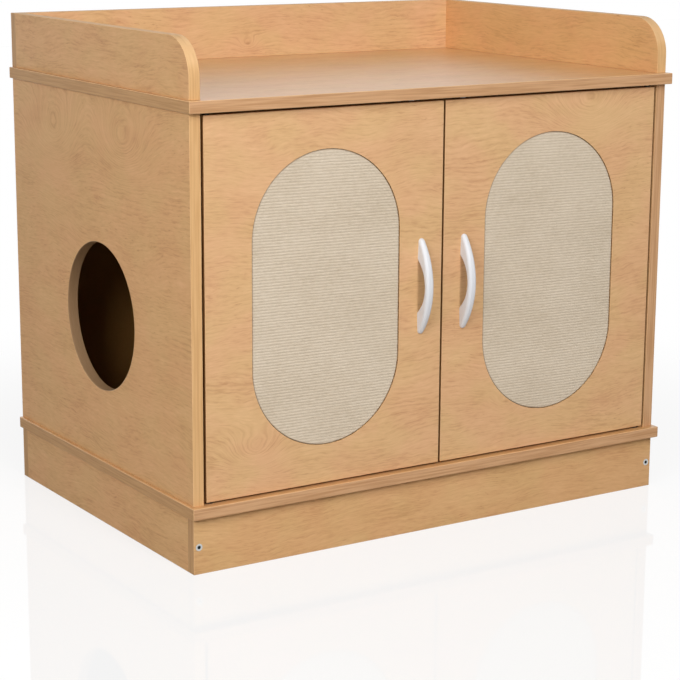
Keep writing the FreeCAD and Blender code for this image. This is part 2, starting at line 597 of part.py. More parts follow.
# --------------------------------------------------------------- the whole
def finish(node):
    """One node's solids, with everything that is bored or routed out of them."""
    shapes = solids[node]
    cutters = tools.get(node, [])
    if cutters:
        shapes = [shape.cut(cutters) for shape in shapes]
    shape = shapes[0] if len(shapes) == 1 else Part.makeCompound(shapes)
    if shape.ShapeType != "Solid" and len(shape.Solids) == 1:
        shape = shape.Solids[0]
    shape.translate(V(0, -CENTRE_Y, 0))
    return shape


def main():
    make_panels()
    make_entrance()
    make_back()
    make_carcass_joints()
    make_plinth()
    make_gallery()
    for side, sign in SIDES:
        make_door(side, sign)
    os.makedirs("parts", exist_ok=True)
    for node in solids:
        shape = finish(node)
        assert shape.isValid(), node + " isn't a valid shape"
        shape.exportStep("parts/{}.step".format(node))
        box = shape.BoundBox
        print("{:24s} {:2d} solids  {:8.1f} {:8.1f} {:8.1f}".format(
            node, len(shape.Solids), box.XLength, box.YLength, box.ZLength))
    print("origin is", CENTRE_Y, "mm behind the side panels' front edges;",
          "hinge axes at x =", PIVOT_X, "and y =", PIVOT_Y - CENTRE_Y)


main()
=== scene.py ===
# %% [markdown]
# # A cat litter box cabinet in printed board
#
# The real object is flat-pack furniture: chipboard with a printed beech paper on it,
# two doors with a scratch pad let into each, white bow handles and a low gallery on top.
# Its boards, screws and hinges are already solid models at their real size, so this
# script leaves their shapes alone. It adds what a solid model can't say: the print of
# the wood, the gloss, the raw edges, and the ribbed weave of the two pads.

# %% Load the cabinet
import json
import math

import bmesh
import bpy
from mathutils import Euler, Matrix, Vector


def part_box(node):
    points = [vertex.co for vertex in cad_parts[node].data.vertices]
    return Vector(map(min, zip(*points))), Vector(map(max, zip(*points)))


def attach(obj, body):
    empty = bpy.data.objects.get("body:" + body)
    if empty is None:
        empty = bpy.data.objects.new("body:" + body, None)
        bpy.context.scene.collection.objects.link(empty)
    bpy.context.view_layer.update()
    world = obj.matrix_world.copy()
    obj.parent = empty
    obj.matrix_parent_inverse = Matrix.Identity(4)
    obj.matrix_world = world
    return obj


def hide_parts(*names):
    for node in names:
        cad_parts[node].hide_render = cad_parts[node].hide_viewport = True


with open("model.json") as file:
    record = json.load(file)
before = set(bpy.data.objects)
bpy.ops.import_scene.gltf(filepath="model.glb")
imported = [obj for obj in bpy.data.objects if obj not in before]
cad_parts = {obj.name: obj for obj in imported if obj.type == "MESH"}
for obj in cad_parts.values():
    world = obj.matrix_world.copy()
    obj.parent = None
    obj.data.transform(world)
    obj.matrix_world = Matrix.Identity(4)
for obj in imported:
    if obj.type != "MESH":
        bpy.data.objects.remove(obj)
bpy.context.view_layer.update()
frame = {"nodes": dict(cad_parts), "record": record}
nodes = frame["nodes"]

# %% [markdown]
# ## The camera
#
# A picture of furniture is usually taken with a long lens from well back, because a
# wide lens near the object makes its nearest corner look huge. Here the upright edges
# lean in only a little, so the lens is long. Its place and angles come from fitting
# the corners of the cabinet to where the picture shows them.

# %% Camera
CAMERA_PLACE = (-1.60799, -2.50951, 0.89719)
CAMERA_YAW = 32.664        # degrees to the right of straight back
CAMERA_PITCH = 12.752      # degrees down
CAMERA_ROLL = 0.328        # degrees
CAMERA_LENS = 107.17       # millimetres
SENSOR_WIDTH = 36.0        # millimetres
CAMERA_REACH = 50.0        # metres


def make_camera():
    camera = bpy.data.objects.new("camera", bpy.data.cameras.new("camera"))
    camera.data.lens = CAMERA_LENS
    camera.data.sensor_width = SENSOR_WIDTH
    camera.data.clip_end = CAMERA_REACH
    tilt = math.radians(90 - CAMERA_PITCH)
    aim = Euler((tilt, 0, -math.radians(CAMERA_YAW))).to_matrix()
    roll = Euler((0, 0, math.radians(CAMERA_ROLL))).to_matrix()
    camera.rotation_euler = (aim @ roll).to_euler()
    camera.location = CAMERA_PLACE
    bpy.context.collection.objects.link(camera)
    bpy.context.scene.camera = camera


make_camera()

# %% [markdown]
# ## Shader maths as plain Python
#
# A procedural material is arithmetic on coordinates, and a long chain of Math nodes is
# hard to read. A small class can wrap one socket and turn +, - and * into those nodes,
# so that a formula looks like a formula. A second class holds the material itself and
# has the one method that adds any other node. Numbers alone stay ordinary Python.

# %% Sockets, nodes and finishes
class Socket:
    """One output of a node. Arithmetic with it adds Math nodes beside that node."""

    def __init__(self, nodes, output):
        self.nodes = nodes
        self.output = output

    def math(self, operation, *values):
        return self.nodes.node("ShaderNodeMath", {"operation": operation}, dict(enumerate(values)))

    def __add__(self, other):
        return self.math("ADD", self, other)

    def __sub__(self, other):
        return self.math("SUBTRACT", self, other)

    def __rsub__(self, other):
        return self.math("SUBTRACT", other, self)

    def __mul__(self, other):
        return self.math("MULTIPLY", self, other)

    def __truediv__(self, other):
        return self.math("DIVIDE", self, other)

    __radd__ = __add__
    __rmul__ = __mul__

    def size(self):
        return self.math("ABSOLUTE", self)

    def root(self):
        return self.math("SQRT", self)

    def sine(self):
        return self.math("SINE", self)

    def exponent(self):
        return self.math("EXPONENT", self)

    def larger(self, other):
        return self.math("MAXIMUM", self, other)

    def below(self, other):
        return self.math("LESS_THAN", self, other)


class Nodes:
    """The nodes of a material or of the world, made one by one."""

    def __init__(self, tree):
        self.tree = tree

    def node(self, kind, settings=None, inputs=None, output=0):
        """Add a node: its settings first, then the values or links of its sockets."""
        made = self.tree.nodes.new(kind)
        for name, value in (settings or {}).items():
            if name == "stops":
                set_stops(made.color_ramp, value)
            else:
                setattr(made, name, value)
        for key, value in (inputs or {}).items():
            if isinstance(value, Socket):
                self.tree.links.new(value.output, made.inputs[key])
            else:
                made.inputs[key].default_value = value
        return Socket(self, made.outputs[output])

    def plug(self, value, name, socket):
        """Link a value to a socket of a node that the tree came with."""
        self.tree.links.new(value.output, self.tree.nodes[name].inputs[socket])

    def coordinates(self, kind):
        """The three parts of a texture coordinate: Object is the place, Normal the facing."""
        whole = self.node("ShaderNodeTexCoord", output=kind)
        parts = self.node("ShaderNodeSeparateXYZ", inputs={0: whole})
        return [Socket(self, output) for output in parts.output.node.outputs]

    def noise(self, x, y, z, detail=2.0, roughness=0.5):
        """Soft noise from 0 to 1, one lump for each unit of x, y and z."""
        where = self.node("ShaderNodeCombineXYZ", inputs={0: x, 1: y, 2: z})
        return self.node("ShaderNodeTexNoise", inputs={
            "Vector": where, "Scale": 1.0, "Detail": detail, "Roughness": roughness})

    def fade(self, value, start, end, low=0.0, high=1.0):
        """Go smoothly from low to high while value goes from start to end."""
        return self.node("ShaderNodeMapRange", {"interpolation_type": "SMOOTHSTEP"}, {
            "Value": value, "From Min": start, "From Max": end, "To Min": low, "To Max": high})

    def pick(self, share, first, second):
        """The number first where share is 0, second where it is 1."""
        return self.node("ShaderNodeMix", {"data_type": "FLOAT"}, {0: share, 2: first, 3: second})

    def blend(self, share, first, second):
        """The colour first where share is 0, second where it is 1."""
        return self.node("ShaderNodeMix", {"data_type": "RGBA"},
                         {0: share, 6: first, 7: second}, output=2)

    def ramp(self, value, stops):
        """The colour that the value picks from the (position, colour) stops."""
        return self.node("ShaderNodeValToRGB", {"stops": stops}, {0: value})


class Finish(Nodes):
    """A material in the making, which ends in one Principled shader."""

    def __init__(self, name, constants):
        self.material = bpy.data.materials.new(name)
        self.material.use_nodes = True
        super().__init__(self.material.node_tree)
        for socket, value in constants.items():
            self.tree.nodes["Principled BSDF"].inputs[socket].default_value = value

    def feed(self, name, value):
        """Link a value to a socket of the Principled shader."""
        self.plug(value, "Principled BSDF", name)

    def bump(self, height, depth):
        """Let the height, from 0 to 1, stand out by depth in metres."""
        self.feed("Normal", self.node("ShaderNodeBump", inputs={
            "Height": height, "Distance": depth, "Strength": 1.0}))


def set_stops(ramp, stops):
    """Give a colour ramp its (position, colour) stops."""
    stops = tuple(stops)
    while len(ramp.elements) < len(stops):
        ramp.elements.new(1.0)
    for element, (position, colour) in zip(ramp.elements, stops):
        element.position = position
        element.color = colour


def ink(red, green, blue):
    """A screen colour with parts from 0 to 255, as the linear colour that a shader takes."""
    def linear(part):  # with the numbers of the sRGB standard
        part = part / 255
        return part / 12.92 if part <= 0.04045 else ((part + 0.055) / 1.055) ** 2.4
    return (linear(red), linear(green), linear(blue), 1.0)


# %% [markdown]
# ## Floor and light
#
# The picture has a white ground with a faint mirror image in it. More light would
# bleach the wood, so the ground is white only for the rays that come from the camera
# or a reflection, and a mid grey for the light that bounces off it. A broad, low
# share of plain shading in it keeps the soft shadow under the plinth.

# %% White ground and surroundings
GROUND_SIZE = 16.0         # metres
MIRROR_SHARE = 0.10        # how much of the ground's look is its reflection
MIRROR_ROUGHNESS = 0.02
SHADOW_SHARE = 0.16        # how much of it is plain shading, which takes the shadow
SHADOW_FADE = (0.55, 1.30) # metres from the middle: from full plain shading to none
SURROUNDING_LEVEL = 0.18   # light from all round, where 1 shows a colour as written
WHITE = ink(255, 255, 255)
BOUNCE_GREY = ink(168, 165, 160)


def make_ground():
    bpy.ops.mesh.primitive_plane_add(size=GROUND_SIZE)
    ground = bpy.context.object
    ground.name = "ground"
    finish = Finish("white_ground", {})
    x, y, _ = finish.coordinates("Object")
    shading = finish.fade((x * x + y * y).root(), *SHADOW_FADE, SHADOW_SHARE, 0.0)
    seen = finish.node("ShaderNodeLightPath", output="Is Camera Ray")
    mirrored = finish.node("ShaderNodeLightPath", output="Is Glossy Ray")
    plain = finish.node("ShaderNodeBsdfDiffuse", inputs={"Color": WHITE})
    bounce = finish.node("ShaderNodeBsdfDiffuse", inputs={"Color": BOUNCE_GREY})
    glow = finish.node("ShaderNodeEmission", inputs={"Color": WHITE, "Strength": 1.0})
    gloss = finish.node("ShaderNodeBsdfGlossy", inputs={"Color": WHITE, "Roughness": MIRROR_ROUGHNESS})
    white = finish.node("ShaderNodeMixShader", inputs={0: shading, 1: glow, 2: plain})
    polished = finish.node("ShaderNodeMixShader", inputs={0: MIRROR_SHARE, 1: white, 2: gloss})
    behind = finish.node("ShaderNodeMixShader", inputs={0: mirrored, 1: bounce, 2: white})
    look = finish.node("ShaderNodeMixShader", inputs={0: seen, 1: behind, 2: polished})
    finish.plug(look, "Material Output", "Surface")
    ground.data.materials.append(finish.material)


def make_surroundings():
    world = bpy.data.worlds.new("pale_room")
    world.use_nodes = True
    sky = Nodes(world.node_tree)
    seen = sky.node("ShaderNodeLightPath", output="Is Camera Ray")
    mirrored = sky.node("ShaderNodeLightPath", output="Is Glossy Ray")
    shown = seen.larger(mirrored)
    sky.plug(shown * (1 - SURROUNDING_LEVEL) + SURROUNDING_LEVEL, "Background", "Strength")
    world.node_tree.nodes["Background"].inputs["Color"].default_value = WHITE
    bpy.context.scene.world = world


make_ground()
make_surroundings()

# %% [markdown]
# Each softbox has a level, which is the share of its own colour that a face shows when
# it stands square to that lamp. The power follows from the level and the distance, so
# the lamps below are set by what they do to the cabinet. The gaps round the doors are
# nearly black, and that says where light may come from. The front one is narrow and
# stands above the cabinet, so it passes over the gaps and draws a soft shadow under the
# top panel. The left one stands round the corner, where it lights the side and shines
# through the entrance, but hardly reaches into the gaps. The high one fills the shadows
# behind the handles, and the last one lights the rear for views from behind.

# %% Softboxes
LAMPS = (
    # name, degrees to the left of straight in front, degrees up,
    # distance, width and height in metres, level
    ("left_softbox", 58, 22, 3.0, 1.6, 0.8, 0.46),
    ("front_softbox", 3, 27, 4.6, 0.7, 1.4, 0.405),
    ("high_softbox", 15, 48, 5.0, 2.5, 1.3, 0.25),
    ("rear_softbox", 178, 4, 4.2, 1.2, 1.2, 0.42),
)
LAMP_AIM = Vector((0.0, 0.0, 0.34))     # the place that all of them face


def make_lamp(name, left, up, distance, width, height, level):
    light = bpy.data.lights.new(name, "AREA")
    light.shape = "RECTANGLE"
    light.size = width
    light.size_y = height
    # pi once for the way a flat lamp spreads its light, once for a matt face doing the same
    light.energy = level * math.pi ** 2 * distance ** 2
    lamp = bpy.data.objects.new(name, light)
    left, up = math.radians(left), math.radians(up)
    towards = Vector((-math.sin(left) * math.cos(up), -math.cos(left) * math.cos(up), math.sin(up)))
    lamp.location = LAMP_AIM + towards * distance
    lamp.rotation_euler = towards.to_track_quat("Z", "Y").to_euler()
    bpy.context.collection.objects.link(lamp)


for lamp in LAMPS:
    make_lamp(*lamp)
bpy.context.scene.view_settings.view_transform = "Standard"

# %% [markdown]
# ## The printed beech paper
#
# Melamine board is chipboard under a photograph of wood on paper. Its lines follow the
# growth rings of the tree: nearly straight along the board, with swirls and ovals where
# the saw met a knot. A wave texture gives stripes that are too even. Instead the place
# across the grain is pushed aside by slow noise, and the rings are a sine of what
# comes out, so that they close into ovals where the push is steep.
#
# Each face of a board has its own grain: a wide face runs along the board, and the
# band glued on an edge runs along that edge. The facing of the surface picks the two
# coordinates, so one material serves all six faces.

# %% Grain directions
AXES = {"x": 0, "y": 1, "z": 2}
EDGE_FACING = (0.6, 0.8)   # how far a face must look along an axis to count as an edge
CORNER_FACING = (0.985, 0.90)   # the largest part of the facing, on a flat face and a corner


def grain_places(finish, through, grain):
    """Places along and across the grain, and the masks of all edges, ends and corners."""
    place = finish.coordinates("Object")
    facing = [part.size() for part in finish.coordinates("Normal")]
    through, grain = AXES[through], AXES[grain]
    cross = sum(AXES.values()) - through - grain
    long_edge = finish.fade(facing[cross], *EDGE_FACING)
    end = finish.fade(facing[grain], *EDGE_FACING)
    edge = long_edge.larger(end)
    along = finish.pick(end, place[grain], place[cross])
    across = finish.pick(edge, place[cross], place[through])
    flattest = facing[0].larger(facing[1]).larger(facing[2])
    corner = finish.fade(flattest, *CORNER_FACING)
    return along, across, edge, end, corner


# %% Rings, fibres and flecks of the print
RING_PITCH = 0.0078        # between two growth rings, in metres
SWIRL = 0.060              # how far slow noise pushes the rings aside, in metres
RING_JITTER = 0.008        # how far quick noise does
RING_UNEVENNESS = 0.011    # how much the distance between the rings varies
KNOT_STRETCH = 1.5         # how much longer a knot is along the grain than across
KNOT_PUSH = 3.4            # how far it pushes the rings, in its own radii
KNOT_FADE, HEART_FADE = -0.30, -9.0     # how fast the push and the dark heart die away
KNOT_RINGS = 0.35          # how much more the rings show near a knot
MIDDLE_TONE = 0.46         # then what rings, fibres, dashes, clouds and flecks add to it
RING_TONE, FIBRE_TONE, DASH_TONE, CLOUD_TONE, FLECK_TONE = 0.12, 1.00, 0.80, 0.95, 0.38
PAPER = {
    # the boards come from different sheets, but the bright and low-shade papers are painted
    # light and shade: pale, middle and deep tone of the yellow patches of each paper, then of
    # its rosy ones
    "light": ((ink(218, 179, 133), ink(207, 167, 121), ink(184, 142, 98)),
              (ink(219, 175, 134), ink(209, 164, 122), ink(187, 139, 100))),
    "warm": ((ink(221, 177, 125), ink(210, 165, 113), ink(187, 140, 91)),
             (ink(222, 174, 125), ink(212, 163, 113), ink(190, 138, 92))),
    # painted shade: a darker copy of the warm paper, for the plinth front low down
    "dull": ((ink(213, 173, 124), ink(202, 161, 112), ink(180, 136, 90)),
             (ink(214, 170, 124), ink(204, 159, 112), ink(183, 134, 91))),
    # painted light: a brighter copy of the warm paper, for light bounced onto the gallery's right
    # board
    "bright": ((ink(231, 185, 128), ink(221, 174, 118), ink(197, 148, 96)),
               (ink(232, 182, 128), ink(223, 171, 118), ink(200, 146, 97))),
    "deep": ((ink(213, 168, 114), ink(201, 155, 102), ink(176, 131, 82)),
             (ink(214, 166, 115), ink(203, 153, 103), ink(179, 128, 83))),
}
BOARD_PAPER = {
    # boards that are not named have the light paper
    "left_side_panel": "warm", "right_side_panel": "warm",
    # the bright paper on the gallery's right board is painted light bounced onto it
    "gallery_left": "warm", "gallery_right": "bright",
    # the low-shade paper on the plinth front is painted shade, low down under the doors
    "plinth_front": "dull", "plinth_back": "warm", "plinth_left": "warm", "plinth_right": "warm",
    "top_panel": "deep", "bottom_panel": "deep",
}


def beech_print(finish, along, across, layer, paper, knots=()):
    """The colour of the print, and the strength of its fibres for the gloss and bump.

    Each noise has its own count of lumps in a metre along and across the grain, and its
    own step from the layer, which keeps it unlike the others.
    """
    swirl = finish.noise(along * 4.2, across * 8.5, layer, detail=1.6) - 0.5
    ring = across + swirl * SWIRL
    mark, near = 0.0, 0.0
    for knot_along, knot_across, radius, darkness in knots:
        over = (along - knot_along) / (KNOT_STRETCH * radius)
        beside = (across - knot_across) / radius
        away = over * over + beside * beside
        hill = (away * KNOT_FADE).exponent()
        ring = ring + hill * (radius * KNOT_PUSH)
        near = hill + near
        mark = (away * HEART_FADE).exponent() * darkness + mark
    jitter = finish.noise(along * 34, across * 60, layer + 1.7, detail=3.0)
    ring = ring + jitter * RING_JITTER
    uneven = ring + finish.noise(ring * 70, along * 3, layer + 3.9) * RING_UNEVENNESS
    lines = (uneven * (math.tau / RING_PITCH)).sine()
    shown = finish.fade(finish.noise(along * 5.0, across * 7.0, layer + 2.3), 0.50, 0.74)
    shown = shown + near * KNOT_RINGS
    fibre = finish.noise(along * 24, ring * 360, layer + 4.1, detail=3.0, roughness=0.6) - 0.5
    dashes = finish.noise(along * 75, ring * 520, layer + 5.3, detail=2.0) - 0.5
    flecks = finish.fade(finish.noise(along * 110, ring * 500, layer + 6.4, detail=1.0), 0.62, 0.78)
    flecked = finish.fade(finish.noise(along * 8, across * 12, layer + 8.8), 0.46, 0.62)
    cloud = finish.noise(along * 9.0, across * 22, layer + 11.2, detail=4.0, roughness=0.6) - 0.5
    tone = MIDDLE_TONE + lines * shown * RING_TONE + fibre * FIBRE_TONE + dashes * DASH_TONE
    tone = tone + cloud * CLOUD_TONE + flecks * flecked * FLECK_TONE + mark
    yellow, rosy = (finish.ramp(tone, zip((0.0, 0.5, 1.0), tones)) for tones in PAPER[paper])
    patch = finish.fade(finish.noise(along * 13, across * 17, layer + 14.0, detail=2.0), 0.34, 0.66)
    return finish.blend(patch, yellow, rosy), fibre


# %% [markdown]
# ## Board: print, edge bands and raw chipboard
#
# Where no one looks, a maker saves the edge band: the back edges under the hardboard,
# the underside of the plinth and the walls of the routed pockets are bare chipboard.
# The bands that are there are a shade darker than the faces, and the bands on the ends of the
# doors are painted darker still, as the shade in the gaps round them. Their trimmed corners
# are paler, partly from wear and partly as a painted highlight, which draws a thin light line
# round each board.
#
# The wide faces of the level boards have a clear coat. Seen from low down it mirrors the
# pale room, so the top panel looks hazy near its front edge, and deep in colour further
# back, where it mirrors the gallery.

# %% Chipboard and the board finish
BANDS = {
    # pale and deep streaks of each kind of edge band; the door ends are painted dark as the shade in
    # the gaps
    "plain": (ink(213, 172, 122), ink(198, 154, 104)),
    "pink": (ink(201, 159, 121), ink(177, 134, 96)),
    "short": (ink(193, 151, 104), ink(175, 133, 88)),
    "door": (ink(144, 102, 58), ink(126, 86, 44)),
}
PINK_BOARDS = ("top_panel", "bottom_panel", "right_side_panel")
BAND_SHARE = 0.9           # how much of the colour of an edge is its band
# paler rounded corners: partly a worn band, partly a painted highlight where the rounds catch light
WEAR_AND_HIGHLIGHT, WEAR_AND_HIGHLIGHT_SHARE = ink(228, 190, 145), 0.35
RAW_FACING = (0.7, 0.9)    # how far a face must look its named way to count as bare
CHIP_PALE, CHIP_MIDDLE, CHIP_DEEP = ink(202, 166, 120), ink(172, 132, 88), ink(128, 92, 58)
CHIP_SIZE = 0.0022         # metres
CHIP_PRESSING = 1.6        # how much thinner the chips are in height
WALL, WALL_DEEP = ink(172, 137, 102), ink(152, 119, 86)
ENTRANCE_RADIUS = 0.105    # metres
WALL_FADE = (ENTRANCE_RADIUS + 0.0009, ENTRANCE_RADIUS + 0.0003)
GLOSS = 0.12               # how strongly the print reflects
ROUGHNESS, FIBRE_ROUGHNESS = 0.46, 0.10 # of the print, and what its fibres add
BARE_ROUGHNESS = 0.35      # what bare chipboard adds
COAT_SHARE, COAT_ROUGHNESS = 0.95, 0.27 # the clear coat of the level boards
RELIEF = 0.00005           # how far fibres and bare chipboard stand out, in metres
EDGE_SHEET, END_SHEET, BOARD_SHEET = 3.3, 5.7, 2.9  # steps to another part of the noise


def chipboard(finish):
    """Pressed chips of wood, each with its own tone."""
    x, y, z = finish.coordinates("Object")
    where = finish.node("ShaderNodeCombineXYZ", inputs={0: x, 1: y, 2: z * CHIP_PRESSING})
    chips = finish.node("ShaderNodeTexVoronoi", output="Color",
                        inputs={"Vector": where, "Scale": 1 / CHIP_SIZE})
    tone = finish.node("ShaderNodeSeparateXYZ", inputs={0: chips})
    return finish.ramp(tone, ((0.0, CHIP_PALE), (0.55, CHIP_MIDDLE), (1.0, CHIP_DEEP)))


def raw_mask(finish, raw_faces):
    """1 on the faces that have no band, which are named by their facing, such as +y."""
    facing = finish.coordinates("Normal")
    mask = 0.0
    for name in raw_faces:
        sign = 1.0 if name[0] == "+" else -1.0
        mask = finish.fade(facing[AXES[name[1]]] * sign, *RAW_FACING) + mask
    return mask


def pocket_mask(finish, low, high):
    """1 inside a box of the room, such as a pocket routed into a door."""
    mask = 1.0
    for part, start, end in zip(finish.coordinates("Object"), low, high):
        middle, half = (start + end) / 2, (end - start) / 2
        mask = (part - middle).size().below(half) * mask
    return mask


def entrance_wall(finish, colour):
    """The sealed brown wall of the round entrance, in place of the print."""
    openings = frame["record"]["physics"]["openings"]
    low, high = next(each["box_m"] for each in openings if each["name"] == "round_entrance")
    x, y, z = finish.coordinates("Object")
    over, up = y - (low[1] + high[1]) / 2, z - (low[2] + high[2]) / 2
    wall = finish.fade((over * over + up * up).root(), *WALL_FADE)
    streaks = finish.noise(x * 700, y * 60, z * 60, detail=2.0)
    return finish.blend(wall, colour, finish.blend(streaks, WALL, WALL_DEEP))


def board_finish(name, through, grain, layer, raw_faces, pocket):
    """The whole finish of one board: its print, bands, worn corners with a painted highlight, and bare
    places.
    """
    level = through == "z"
    constants = {"IOR": 1.5, "Specular IOR Level": GLOSS}
    if level:
        constants["Coat Roughness"] = COAT_ROUGHNESS
    finish = Finish("beech_" + name, constants)
    along, across, edge, end, corner = grain_places(finish, through, grain)
    sheet = edge * EDGE_SHEET + end * END_SHEET + layer
    paper = BOARD_PAPER.get(name, "light")
    colour, fibre = beech_print(finish, along, across, sheet, paper, KNOTS.get(name, ()))
    streak = finish.fade(finish.noise(along * 12, across * 400, sheet + 2.0, detail=2.0), 0.3, 0.7)
    band = finish.blend(streak, *BANDS["pink" if name in PINK_BOARDS else "plain"])
    if grain == "x":
        # the ends of the doors face the gaps round them, and their dark band is painted shade
        end_band = BANDS["door" if name.endswith("_door") else "short"]
        band = finish.blend(end, band, finish.blend(streak, *end_band))
    colour = finish.blend(edge * BAND_SHARE, colour, band)
    # the corners are made paler, as wear and as a painted highlight
    colour = finish.blend(corner * WEAR_AND_HIGHLIGHT_SHARE, colour, WEAR_AND_HIGHLIGHT)
    if name == "left_side_panel":
        colour = entrance_wall(finish, colour)
    bare = 0.0
    if raw_faces:
        bare = raw_mask(finish, raw_faces)
    if pocket:
        bare = pocket_mask(finish, *pocket) + bare
    if raw_faces or pocket:
        colour = finish.blend(bare, colour, chipboard(finish))
    finish.feed("Base Color", colour)
    finish.feed("Roughness", ROUGHNESS + fibre * FIBRE_ROUGHNESS + bare * BARE_ROUGHNESS)
    if level:
        finish.feed("Coat Weight", (1 - edge) * COAT_SHARE)
    finish.bump(fibre + bare, RELIEF)
    return finish.material


# %% Dress the boards
def dress(node, material):
    """Put one material on a solid model, in place of what it came with."""
    mesh = nodes[node].data
    mesh.materials.clear()
    mesh.materials.append(material)


BOARDS = (
    # node, axis through the board, axis of its grain, faces without a band
    ("bottom_panel", "z", "x", ("+y",)),
    ("top_panel", "z", "x", ("+y",)),
    ("left_side_panel", "x", "y", ()),
    ("right_side_panel", "x", "y", ("+y",)),
    ("plinth_front", "y", "x", ("-z", "+z")),
    ("plinth_back", "y", "x", ("-z", "+z")),
    ("plinth_left", "x", "y", ("-z", "+z", "+y", "-y")),
    ("plinth_right", "x", "y", ("-z", "+z", "+y", "-y")),
    ("gallery_back", "y", "x", ("-z",)),
    ("gallery_left", "x", "y", ("-z", "+y")),
    ("gallery_right", "x", "y", ("-z", "+y")),
    ("left_door", "y", "x", ()),
    ("right_door", "y", "x", ()),
)
KNOTS = {
    # place along the grain, place across it, radius in metres, darkness of its heart
    "gallery_back": ((-0.002, 0.649, 0.006, 0.5),),
    "right_door": ((0.117, 0.170, 0.008, 0.4), (0.255, 0.588, 0.022, 0.0)),
    "left_side_panel": ((0.142, 0.547, 0.026, 0.0), (-0.070, 0.556, 0.024, 0.0)),
    "left_door": ((-0.300, 0.155, 0.014, 0.0),),
}
POCKET_FIT = 0.0008        # the mask of a pocket reaches this far past the pad in it
POCKET_SKIN = 0.0003       # its mask starts this far behind the door's face


def pad_pocket(node):
    """The corners of the pocket for the pad if the board is a door, or else None."""
    if not node.endswith("_door"):
        return None
    low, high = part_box(node.replace("_door", "_scratch_pad"))
    reach = Vector((POCKET_FIT, POCKET_FIT, POCKET_FIT))
    low, high = low - reach, high + reach
    low.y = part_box(node)[0].y + POCKET_SKIN
    return low, high


for place, (node, through, grain, raw_faces) in enumerate(BOARDS):
    layer = BOARD_SHEET * place
    dress(node, board_finish(node, through, grain, layer, raw_faces, pad_pocket(node)))
print("boards dressed:", len(BOARDS))

# %% [markdown]
# ## The hardboard back
#
# A thin sheet of pressed brown fibre closes the back. Its inner face is pressed smooth
# and has a dull gloss, and its outer face has the mark of the wire screen that it was
# pressed on. The screen is two sine waves across each other in the bump.

# %% Hardboard
SCREEN_PITCH = 0.0016      # between two wires of the screen, in metres
SCREEN_RELIEF = 0.00012    # how far its mark stands out
INSIDE_FACING = (-0.4, -0.8)    # the inner face looks to the front, which is -y
FIBRE_PALE, FIBRE_DEEP = ink(150, 112, 76), ink(112, 78, 50)
SMOOTH_PALE, SMOOTH_DEEP = ink(172, 129, 69), ink(144, 102, 50)


def hardboard_finish():
    finish = Finish("brown_hardboard", {"IOR": 1.45, "Specular IOR Level": 0.3})
    x, y, z = finish.coordinates("Object")
    facing = finish.coordinates("Normal")
    inside = finish.fade(facing[1], *INSIDE_FACING)
    clouds = finish.noise(x * 22, y * 22, z * 22, detail=4.0, roughness=0.65)
    threads = finish.noise(x * 260, y * 260, z * 340, detail=3.0, roughness=0.7)
    share = clouds * 0.5 + threads * 0.6
    rough_side = finish.blend(share, FIBRE_PALE, FIBRE_DEEP)
    smooth_side = finish.blend(share, SMOOTH_PALE, SMOOTH_DEEP)
    finish.feed("Base Color", finish.blend(inside, rough_side, smooth_side))
    finish.feed("Roughness", finish.pick(inside, 0.62 + threads * 0.2, 0.50 + threads * 0.1))
    turn = math.tau / SCREEN_PITCH
    screen = (x * turn).sine() * (z * turn).sine()
    finish.bump((screen * 0.5 + threads) * (1 - inside * 0.8), SCREEN_RELIEF)
    return finish.material


dress("back_panel", hardboard_finish())

# %% [markdown]
# ## Beech dowels, plastic and metal
#
# The small parts decide whether a close view is believed. Dowels are pressed beech with
# short dark pores. Zinc plating is a cold, slightly blue metal whose gloss is cloudy.
# Die-cast zinc is duller and greyer. The catch and the bushes are moulded brown
# plastic with a fine grain. Each of them is one Principled shader with noise on it.

# %% Finishes of the small parts
SCREW_X = 0.387            # the board screws that show lie this far from the middle
SCREW_HEIGHTS = (0.0375, 0.648, 0.687)  # in the plinth, then in the gallery corners
SOCKET_RADIUS = 0.0026
SOCKET_FADE = (SOCKET_RADIUS, SOCKET_RADIUS - 0.0003)
# how far pores, clouds on metal and the grain of plastic stand out, in metres
PORE_RELIEF, METAL_RELIEF, PLASTIC_RELIEF = 0.0001, 0.00003, 0.00004


def dowel_finish():
    finish = Finish("bare_beech", {"Roughness": 0.62})
    x, y, z = finish.coordinates("Object")
    pores = finish.noise(x * 2200, y * 2200, z * 160, detail=2.0)
    colour = finish.ramp(pores, (
        (0.3, ink(222, 184, 138)), (0.62, ink(204, 162, 114)), (0.8, ink(160, 116, 74))))
    finish.feed("Base Color", colour)
    finish.bump(pores, PORE_RELIEF)
    return finish.material


def metal_finish(name, pale, deep, roughness, cloud_size):
    finish = Finish(name, {"Metallic": 1.0})
    x, y, z = finish.coordinates("Object")
    fine = 1 / cloud_size
    clouds = finish.noise(x * fine, y * fine, z * fine, detail=3.0, roughness=0.6)
    scratches = finish.noise(x * fine * 9, y * fine * 9, z * fine * 2, detail=2.0)
    finish.feed("Base Color", finish.blend(clouds, pale, deep))
    finish.feed("Roughness", roughness + clouds * 0.16 + scratches * 0.06)
    finish.bump(clouds, METAL_RELIEF)
    return finish.material


def socket_screw_finish():
    """Board screws: a pale matt head whose socket is painted dark, as the shade deep inside it."""
    finish = Finish("matt_board_screws", {"Metallic": 0.6, "Roughness": 0.5})
    x, y, z = finish.coordinates("Object")
    beside = x.size() - SCREW_X
    socket = 0.0
    for height in SCREW_HEIGHTS:
        up = z - height
        away = (beside * beside + up * up).root()
        socket = finish.fade(away, *SOCKET_FADE) + socket
    clouds = finish.noise(x * 700, y * 700, z * 700, detail=2.0)
    metal = finish.blend(clouds, ink(206, 208, 206), ink(184, 187, 186))
    # the socket is painted dark: painted shade deep inside it
    finish.feed("Base Color", finish.blend(socket, metal, ink(52, 66, 70)))
    return finish.material


